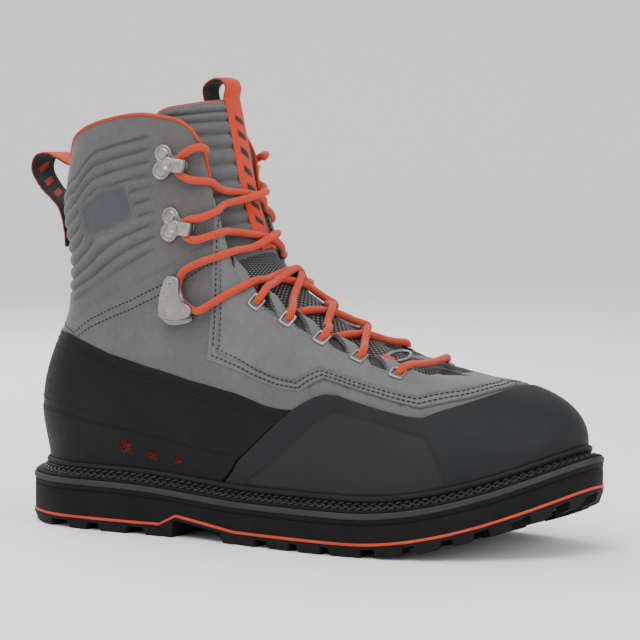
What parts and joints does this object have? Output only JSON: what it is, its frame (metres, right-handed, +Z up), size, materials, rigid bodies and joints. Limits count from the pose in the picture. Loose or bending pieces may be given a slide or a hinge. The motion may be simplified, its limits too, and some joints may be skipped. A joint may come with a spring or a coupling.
{
  "type": "wading boot",
  "caption": "Laced wading boot, right foot: grey leather upper, dark rubber toe and heel rands, stitched welt, lugged sole, orange laces, pull loops and satin metal hooks.",
  "frame": {"origin": "on the floor, on the flat spot of the tread under the centre of the heel", "axes": "+X to the toe, -Y to the outer side of this right boot, +Z up"},
  "size_m": [0.3226, 0.124, 0.2323],
  "materials": {
    "gray_leather": "matt nubuck leather",
    "gray_overlay": "matt nubuck leather overlay",
    "rand_rubber": "matt rubber",
    "toe_rubber": "matt rubber, slightly lighter",
    "sole_rubber": "matt tread rubber",
    "midsole_foam": "pebbled moulded rubber",
    "welt_gray": "matt grey rubber",
    "stripe_rubber": "matt orange rubber",
    "orange_webbing": "woven webbing",
    "orange_cord": "braided cord",
    "satin_metal": "satin",
    "tongue_cloth": "padded cloth and mesh",
    "insole_foam": "cloth-faced foam"
  },
  "bodies": {
    "root": {"outsole": "sole_rubber", "sole_stripe": "stripe_rubber", "midsole": "midsole_foam", "midsole_band": "welt_gray", "welt": "welt_gray", "insole": "insole_foam", "upper": "gray_leather", "heel_rand": "rand_rubber", "toe_rand": "toe_rubber", "vamp": "gray_overlay", "rand_bead": "rand_rubber", "tongue": "tongue_cloth", "tongue_strap": "orange_webbing", "heel_loop": "orange_webbing", "eyelet_outer_1": "satin_metal", "eyelet_outer_2": "satin_metal", "eyelet_outer_3": "satin_metal", "eyelet_outer_4": "satin_metal", "eyelet_outer_5": "satin_metal", "hook_outer_1": "satin_metal", "hook_outer_2": "satin_metal", "ankle_hook_outer": "satin_metal", "eyelet_inner_1": "satin_metal", "eyelet_inner_2": "satin_metal", "eyelet_inner_3": "satin_metal", "eyelet_inner_4": "satin_metal", "eyelet_inner_5": "satin_metal", "hook_inner_1": "satin_metal", "hook_inner_2": "satin_metal", "ankle_hook_inner": "satin_metal", "lace_ring": "satin_metal", "lace_1": "orange_cord", "lace_2": "orange_cord", "lace_3": "orange_cord", "lace_4": "orange_cord", "lace_5": "orange_cord", "lace_6": "orange_cord", "lace_7": "orange_cord", "lace_8": "orange_cord"}
  },
  "joints": []
}
